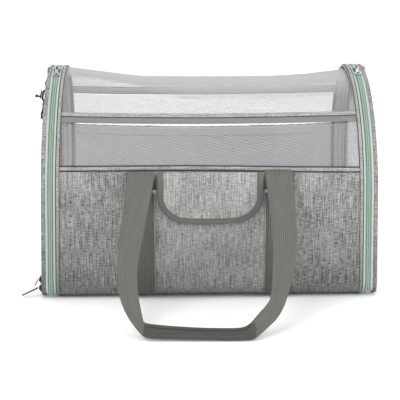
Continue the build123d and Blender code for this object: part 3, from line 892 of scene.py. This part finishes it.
t = np.linspace(run_at(POCKET_LOW), run_at(POCKET_TOP), 60)[:, None]
x = (np.linspace(-1, 1, 61) * POCKET_HALF)[None]
pocket = grid("pocket_panel", front_point(x, t, pocket_lift(x, t)), stack(x + 40.0, t), MELANGE_FLAP, "shell")
thicken(pocket, 1.3)
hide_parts("front_pocket")
t = np.linspace(run_at(POCKET_LOW), run_at(POCKET_TOP), 90)
hem_x, hem_t = np.linspace(-POCKET_HALF + 1, POCKET_HALF - 1, 70), np.full(70, run_at(POCKET_TOP))
tube("pocket_hem", front_point(hem_x, hem_t, pocket_lift(hem_x, hem_t) - 0.6), 1.1, BINDING, "shell", sides=8)
tacks = []
for label, sign in (("left", -1), ("right", 1)):
    line = front_point(sign * (POCKET_HALF - 0.3), t, 1.7)
    tube(f"pocket_{label}_piping", line, 0.95, MELANGE_STRIP, "shell", sides=8)
    tack_x = sign * (np.linspace(0, 6.0, 4) + POCKET_HALF - 3.2)
    tacks += [front_point(tack_x, np.full(4, run_at(POCKET_TOP - 1.2 - step)), 2.9) for step in range(4)]
stitches("pocket_tacks", tacks, STITCH, "shell", pitch=5.6, share=0.98, width=0.6)

FLAP_HALF = FLAP[1][0]
FLAP_OUT = FLAP[0][1]
FLAP_ROUND = 35.0
FLAP_BELLY = 5.0           # its lower edge hangs this much lower in the middle
drop = smooth_path([
    (FOLD[1] + 1.4, 172.2), (FOLD[1] - 1.2, 171.4), (FLAP_OUT + 2.4, 167.0), (FLAP_OUT + 1.5, 158),
    (FLAP_OUT + 1.3, 140), (FLAP_OUT + 1.4, FLAP[0][2] + 0.5)], 60)   # y and z down the flap
drop_run = lengths(drop)
FLAP_LONG = drop_run[-1]
FLAP_STRAIGHT = FLAP_LONG - FLAP_ROUND


def on_flap(x, v, lift=0.0):
    """A point of the flap: x across, v down from its seam."""
    (y, z), ahead, behind = [[np.interp(v + step, drop_run, column) for column in drop.T]
                             for step in (0, 0.5, -0.5)]
    dy, dz = ahead[0] - behind[0], ahead[1] - behind[1]
    side = (np.asarray(x) / FLAP_HALF) ** 2
    off = (lift + 0.9 * (1 - side) * ramp(v, 8, 40) - 0.5) / np.hypot(dy, dz)
    z = z + FLAP_BELLY * side * ramp(v, 0.4 * FLAP_LONG, FLAP_LONG)
    return stack(x, y + off * dz, z - off * dy)


def bend_flap(piece):
    bend(piece, "shell", "flap", on_flap(0.0, 2.0), on_flap(0.0, 9.0))


v = np.concatenate([np.linspace(0, FLAP_STRAIGHT, 26),
                    FLAP_STRAIGHT + FLAP_ROUND * np.sin(np.linspace(0, math.pi / 2, 16))[1:]])[:, None]
below = np.clip(v - FLAP_STRAIGHT, 0, FLAP_ROUND)
flap_half = FLAP_HALF - FLAP_ROUND + np.sqrt(np.clip(FLAP_ROUND ** 2 - below ** 2, 0, None))
x = np.linspace(-1, 1, 49)[None] * (flap_half - 1.0)
panel = slab("flap_panel", on_flap(x, v - 0.5, 0.35 * ripple(x, v, 24.0, 31.0)), 0.9, stack(x - 90.0, -v),
             MELANGE_FLAP, None)
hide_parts("pocket_flap")
bend_flap(panel)

corner = np.linspace(0, math.pi / 2, 16)
edge_left = np.concatenate([
    stack(-FLAP_HALF, np.linspace(3.0, FLAP_STRAIGHT, 24)),
    stack(-FLAP_HALF + FLAP_ROUND - FLAP_ROUND * np.cos(corner),
          FLAP_STRAIGHT + FLAP_ROUND * np.sin(corner))[1:],
    stack(np.linspace(-FLAP_HALF + FLAP_ROUND, 0, 14)[1:], FLAP_LONG)])
edge = np.concatenate([edge_left, (edge_left * (-1, 1))[-2::-1]])
heading = np.gradient(edge, axis=0)
heading /= np.linalg.norm(heading, axis=1)[:, None]
inner = np.stack([heading[:, 1], -heading[:, 0]], -1)
TRIM = ((7.8, 0.7), (7.4, 1.5), (4.0, 1.8), (0.9, 1.6), (-0.3, 0.8), (-0.3, -0.6), (0.9, -1.2), (7.2, -1.2),
        (7.8, -0.7), (7.8, 0.7))           # the binding's section: in from the edge, and off the flap
points = np.stack([on_flap(*(edge + inner * a).T, h) for a, h in TRIM], 1)
binding = grid("flap_binding", points, stack(lengths(np.array(TRIM))[None], lengths(edge)[:, None]), BINDING,
               None, caps=True)
bend_flap(binding)
inset = edge + inner * 6.6
stitches("flap_stitches", [on_flap(*inset[inset[:, 1] > 12].T, 1.75)], STITCH_DARK, "flap", pitch=3.4)

# ---- end panels: border, window, net door
WINDOW_INSET = 14.0
WINDOW_LOW = JOINTS["left_door_fold"]["pos_m"][2] / MM - LIFT
WINDOW_STEPS = 65          # points up each side, and half as many as over the arch
DOOR_COIL_PITCH = 1.8


def window_route(inset, low):
    """Up one side of the window, over its arch and down: y, height, outward normal, run, width."""
    half = HALF_DEPTH - inset
    side = np.linspace(low, END_ARCH, WINDOW_STEPS)
    arch = np.linspace(0, math.pi, 2 * WINDOW_STEPS)[1:-1]
    one, none = np.ones(len(side)), np.zeros(len(side))
    ny = np.concatenate([-one, -np.cos(arch), one])
    ns = np.concatenate([none, np.sin(arch), none])
    y = half * ny
    s = np.concatenate([side, END_ARCH + half * np.sin(arch), side[::-1]])
    bend_in = np.clip(CORNER - s, 0, CORNER)
    width = BASE_HALF + np.sqrt(CORNER ** 2 - bend_in ** 2) - half
    return y, s, ny, ns, lengths(np.stack([y, s], -1)), np.where(s >= CORNER, inset, width) / inset


def bar(name, half_width, section, material, body, turn):
    """A strip of (depth, s) section across the end's foot; half_width is a function of s."""
    section = np.array(section)
    y = np.linspace(-1, 1, 60)[:, None] * np.array([half_width(s) for s in section[:, 1]])
    points = end_point(y, section[:, 1], section[:, 0])
    return grid(name, turn(points), stack(y, lengths(section)), material, body, caps=True)


def foot_width(s):
    """Half width of the end at a low height."""
    return BASE_HALF + math.sqrt(CORNER ** 2 - (CORNER - min(s, CORNER)) ** 2)


def window_coil(name, inset, body, turn):
    """One row of the door's zipper, round the window."""
    *route, run, _ = window_route(inset, WINDOW_LOW + 1)
    even, angle = helix(0, run[-1], DOOR_COIL_PITCH)
    y, s, ny, ns = [np.interp(even, run, values) for values in route]
    out = 1.1 * np.cos(angle)
    path = end_point(y + ny * out, s + ns * out, 0.9 + COIL_RADIUS * np.sin(angle))
    tube(name, turn(path), 0.36, GREY_COIL, body, sides=5)


# sections: depth in from the face, and how far out from the window's edge or up the end
PANEL = [
    (5.5, 0.3), (2.2, 0.1), (2.0, 2.4), (1.2, 2.9), (0.4, 3.6), (0.0, 5.0), (-0.1, 7.0), (0.1, 8.6),
    (0.7, 9.5), (0.6, 10.0), (0.0, 11.0), (0.0, 12.2), (0.5, 13.3), (1.5, 13.9), (2.9, 14.1), (4.2, 14.0),
    (5.1, 13.6), (5.5, 12.9), (5.5, 0.3)]
PANEL_LINING = [(5.4, 0.5), (5.9, 0.6), (5.9, 12.6), (5.4, 12.7), (5.4, 0.5)]
HEM = [(0.5, HINGE_S + 0.3), (0.0, HINGE_S + 1.2), (0.5, WINDOW_LOW - 0.5), (5.2, WINDOW_LOW - 0.5),
       (5.5, HINGE_S + 1.2), (5.2, HINGE_S + 0.3), (0.5, HINGE_S + 0.3)]
FOOT = [(0.4, 0.9), (0.0, 2.0), (0.0, 4.6), (0.4, 5.6), (5.1, 5.6), (5.5, 4.6), (5.5, 2.0), (5.1, 0.9),
        (0.4, 0.9)]
DOOR_EDGE = [(1.9, 0.0), (3.5, 0.0), (3.5, -8.6), (2.9, -9.2), (2.0, -9.0), (1.7, -6.0), (1.7, -2.0),
             (1.9, 0.0)]
DOOR_HEM = [(depth, WINDOW_LOW + up) for depth, up in
            ((1.9, 1.2), (1.6, 4), (2.0, 8), (3.3, 8), (3.6, 4), (3.5, 1.2), (1.9, 1.2))]
NET_REACH = HALF_DEPTH - WINDOW_INSET - 7.0
NET_LOW = WINDOW_LOW + 5
route = window_route(WINDOW_INSET, HINGE_S + 3)
s = np.linspace(2.6, WINDOW_LOW - 0.6, 13)[:, None]
y = np.linspace(-1, 1, 50)[None] * (np.array([foot_width(v) for v in s[:, 0]])[:, None] - 1.5)
flex_points, flex_uv = end_point(y, s, -0.15 + 0.1 * np.cos(s)), stack(y, s)
climb = np.concatenate([np.linspace(NET_LOW, END_ARCH, 26),
                        END_ARCH + NET_REACH * np.sin(np.linspace(0, math.pi / 2 - 0.02, 24))[1:]])[:, None]
over = np.clip(climb - END_ARCH, 0, None)
y = np.linspace(-1, 1, 40)[None] * np.sqrt(np.clip(NET_REACH ** 2 - over ** 2, 0, None))
billow = 2.6 + 1.0 * ripple(y, climb, 60.0, 44.0) * (1 - (y / NET_REACH) ** 2)
net_points, net_uv = end_point(y, climb, billow), stack(y, climb)


def along_window(out, depth):
    return end_point(route[0] + route[2] * out, route[1] + route[3] * out, depth)


for other, turn in SIDES:
    end, door = other + "end", other + "door"
    border = sweep(other + "end_border_pad", window_route(WINDOW_INSET, HINGE_S + 0.3), PANEL, MELANGE, end,
                   turn, scaled=True)
    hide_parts(other + "end_border", other + "hoop_wire")
    sweep(other + "border_lining", window_route(WINDOW_INSET, HINGE_S + 0.5), PANEL_LINING, LINING, end, turn,
          scaled=True)
    bar(other + "end_hem", foot_width, HEM, MELANGE, end, turn)
    foot = bar(other + "foot_pad", foot_width, FOOT, MELANGE, "shell", turn)
    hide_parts(other + "fold_strip")
    flex = slab(other + "hinge_fabric", turn(flex_points), 0.3, flex_uv, MELANGE, None)
    bend(flex, "shell", end, turn(end_point(0.0, 4.6, 0.0)), turn(end_point(0.0, 7.4, 0.0)))
    window_coil(other + "window_coil", WINDOW_INSET - 1.2, end, turn)
    window_coil(other + "door_coil", WINDOW_INSET + 1.2, door, turn)
    rows = [turn(along_window(4.2, 0.15)), turn(along_window(9.3, 0.5))]
    stitches(other + "border_stitches", rows, STITCH_DARK, end)
    # net door: tape round its edge, a hem at its fold, and the net
    tape = sweep(other + "door_tape", window_route(WINDOW_INSET + 0.6, WINDOW_LOW + 0.8), DOOR_EDGE,
                 DOOR_TAPE, door, turn)
    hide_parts(other + "mesh_door")
    bar(other + "door_hem", lambda s: HALF_DEPTH - WINDOW_INSET - 1.2, DOOR_HEM, DOOR_TAPE, door, turn)
    stitches(other + "door_stitches", [turn(along_window(-8.6, 1.75))], STITCH_DARK, door, pitch=3.6)
    door_net = thicken(grid(other + "door_net", turn(net_points), net_uv, NET_DOOR, door), NET_CLOTH, 0.0)

# ---- ring loops and the hook's webbing
LOOP_WIDTH = 18
LOOP_TOP = 283             # where the loop is sewn on, up the end
ring_bar = np.array(JOINTS["left_ring_swing"]["pos_m"]) / MM
RING_S = (ring_bar[2] - LIFT) / math.cos(TILT)
hang = math.radians(9.0) + TILT
HANG_X, HANG_Y = np.array((0, -1, 0)), np.array((math.sin(hang), 0, math.cos(hang)))
HANG_Z = np.array((-math.cos(hang), 0, math.sin(hang)))


def strip_along(name, path, body, turn, place):
    """A strip of webbing along a path of points, level across y."""
    across = np.linspace(-1, 1, 7)[None, :, None] * LOOP_WIDTH / 2
    points = place(path)[:, None] + across * np.array((0, 1, 0))
    return slab(name, turn(points), 0.5, stack(across[..., 0], lengths(path)[:, None]), WEBBING, body)


loop_path = (0, RING_S) + smooth_path([
    (-0.7, LOOP_TOP - RING_S), (-0.7, 1), (-0.9, -2.4), (-3.2, -3.1), (-5.6, -2.0), (-5.5, 2), (-3.0, 7),
    (-2.0, 11), (-1.9, LOOP_TOP - RING_S)], 50)
for other, turn in SIDES:
    loop = strip_along(other + "ring_webbing", loop_path, other + "end", turn,
                       lambda path: end_point(0.0, path[:, 1], path[:, 0]))
    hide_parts(other + "ring_loop")
tail_path = smooth_path([(-49.6, 1.0), (-46, 1.3), (-42, 2.1), (-39.4, 2.0), (-38.0, 0.2),
                         (-39.4, -1.6), (-42, -1.7), (-46, -0.7), (-49.6, -0.5)], 70)
tail = strip_along("left_hook_webbing", tail_path, "left_ring", unturned,
                   lambda path: ring_bar + path[:, :1] * HANG_Y + path[:, 1:] * HANG_Z)
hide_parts("left_hook_strap")
box = [ring_bar + y * HANG_X + h * HANG_Y + 1.75 * HANG_Z
       for y, h in ((-6.5, -43.4), (6.5, -43.4), (6.5, -48.4), (-6.5, -48.4), (-6.5, -43.4), (6.5, -48.4))]
dense = np.concatenate([np.linspace(a, b, 8)[:-1] for a, b in zip(box[:-1], box[1:])])
box_stitches = stitches("left_hook_stitches", [dense], STITCH_DARK, "left_ring", pitch=2.6, width=0.3)

# ---- rods under the roof bands
ROD = corners("front_stay_rod")
rod_middle = (ROD[0] + ROD[1]) / 2
rod_x = np.linspace(ROD[0][0] + 1, ROD[1][0] - 1, 40)
for place, turn in PLACES:
    line = stack(rod_x, rod_middle[1], rod_middle[2] - band_drop(rod_x) - 0.4)
    rod = tube(place + "rod", turn(line), (ROD[1][2] - ROD[0][2]) / 2, FIBRE, "shell", sides=12)
    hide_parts(place + "stay_rod")

# ---- floor mat
MAT = corners("floor_mat")
MAT_INSET = (2, 2, 1.6)    # the block starts smaller, and the cloth swells it
MAT_CORNER = 16
QUILT = 62.0               # spacing of the quilting lines
MAT_GROWTH = 3.0           # no point moves further than this
MAT_VOXEL = 4.8
CLOTH_FRAMES = 20


def apply_modifiers(piece):
    """Bakes a piece's modifiers into its mesh."""
    graph = bpy.context.evaluated_depsgraph_get()
    mesh = bpy.data.meshes.new_from_object(piece.evaluated_get(graph))
    piece.modifiers.clear()
    piece.data = mesh


mesh = bpy.data.meshes.new("mat_cushion")
shape = bmesh.new()
bmesh.ops.create_cube(shape, size=1.0)
for vertex in shape.verts:
    vertex.co = Vector([(a + b) / 2 + (b - a) * c for a, b, c in zip(MAT[0] + MAT_INSET, MAT[1] - MAT_INSET,
                                                                     vertex.co)]) * MM
upright = [e for e in shape.edges if abs(e.verts[0].co.z - e.verts[1].co.z) > 1e-4]
bmesh.ops.bevel(shape, geom=upright, offset=MAT_CORNER * MM, segments=6, affect="EDGES", profile=0.5)
shape.to_mesh(mesh)
shape.free()
mesh.materials.append(FLEECE)
mat = bpy.data.objects.new("mat_cushion", mesh)
scene.collection.objects.link(mat)
remesh = mat.modifiers.new("remesh", "REMESH")
remesh.mode = "VOXEL"
remesh.voxel_size = MAT_VOXEL * MM
apply_modifiers(mat)
start = np.array([v.co for v in mat.data.vertices])
cloth = mat.modifiers.new("cloth", "CLOTH")
cloth.settings.use_pressure = True
cloth.settings.uniform_pressure_force = 4.0
cloth.settings.effector_weights.gravity = 0.0
cloth.settings.quality = 5
cloth.point_cache.frame_start = 1
cloth.point_cache.frame_end = CLOTH_FRAMES
for frame_number in range(1, CLOTH_FRAMES + 1):
    scene.frame_set(frame_number)
apply_modifiers(mat)
moved = np.array([v.co for v in mat.data.vertices]) - start
far = np.linalg.norm(moved, axis=1, keepdims=True)
capped = start + moved * np.minimum(1, MAT_GROWTH * MM / np.maximum(far, 1e-9))
capped[:, 2] = np.clip(capped[:, 2], (MAT[0][2] + 0.2) * MM, (MAT[1][2] + 2.0) * MM)
for vertex, spot in zip(mat.data.vertices, capped):
    vertex.co = spot
scene.frame_set(1)
for vertex in mat.data.vertices:
    x, y, z = vertex.co / MM
    quilt = min(abs(x % QUILT - QUILT / 2), abs(y % QUILT - QUILT / 2))
    if z > (MAT[0][2] + MAT[1][2]) / 2:
        vertex.co.z -= 1.6 * MM * math.exp(-(quilt / 3.5) ** 2)
mat.data.polygons.foreach_set("use_smooth", [True] * len(mat.data.polygons))
smooth = mat.modifiers.new("smooth", "SUBSURF")
smooth.levels = smooth.render_levels = 1
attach(mat, "shell")
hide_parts("floor_mat")

# ---- finishes of the CAD pieces that stay
KEPT = {"d_ring": GUNMETAL, "snap_hook": GUNMETAL, "hook_lever": GUNMETAL, "top_slider": SLIDER_METAL,
        "top_pull": NICKEL, "upper_door_slider": GUNMETAL, "lower_door_slider": GUNMETAL,
        "upper_door_tab": TAB, "lower_door_tab": TAB, "pocket_loop_tape": VELCRO, "flap_hook_tape": VELCRO,
        "base_board": BOARD}
for name, node in frame["nodes"].items():
    finish = KEPT.get(name) or KEPT.get(name.split("_", 1)[1])
    if finish:
        node.data.materials.clear()
        node.data.materials.append(finish)


# ---- camera, light, floor
def show(name, data, place, target=None):
    """Puts a camera, light or floor in the scene, looking at a target if there is one."""
    thing = bpy.data.objects.new(name, data)
    scene.collection.objects.link(thing)
    thing.location = place
    if target:
        thing.rotation_euler = (Vector(target) - Vector(place)).to_track_quat("-Z", "Y").to_euler()
    return thing


camera_data = bpy.data.cameras.new("camera")
camera_data.lens = 115.3
camera_data.sensor_width = 36.0
scene.camera = show("camera", camera_data, (-0.056, -1.744, 0.541), (-0.0089, 0.0, 0.0958))
scene.view_settings.view_transform = "Standard"

world = bpy.data.worlds.new("studio")
world.use_nodes = True
background = world.node_tree.nodes["Background"]
background.inputs["Color"].default_value = (1, 1, 1, 1)
background.inputs["Strength"].default_value = 1.05
scene.world = world

LAMP_SIZE = 1.2
for name, place, power in (("key", (-1.0, -1.6, 1.9), 24), ("fill", (1.5, -1.3, 0.8), 16),
                           ("back", (0.2, 1.6, 1.6), 12)):
    lamp = bpy.data.lights.new(name, "AREA")
    lamp.size = LAMP_SIZE
    lamp.energy = power
    show(name, lamp, place, (0, 0, 0.1))

floor_material = Nodes("floor")
floor_material.shader.inputs["Base Color"].default_value = (0.96, 0.96, 0.96, 1)
floor_mesh = bpy.data.meshes.new("floor")
floor_mesh.from_pydata([(-20, -20, 0), (20, -20, 0), (20, 20, 0), (-20, 20, 0)], [], [(0, 1, 2, 3)])
floor_mesh.materials.append(floor_material.finish(0.9))
show("floor", floor_mesh, (0, 0, -0.0005))
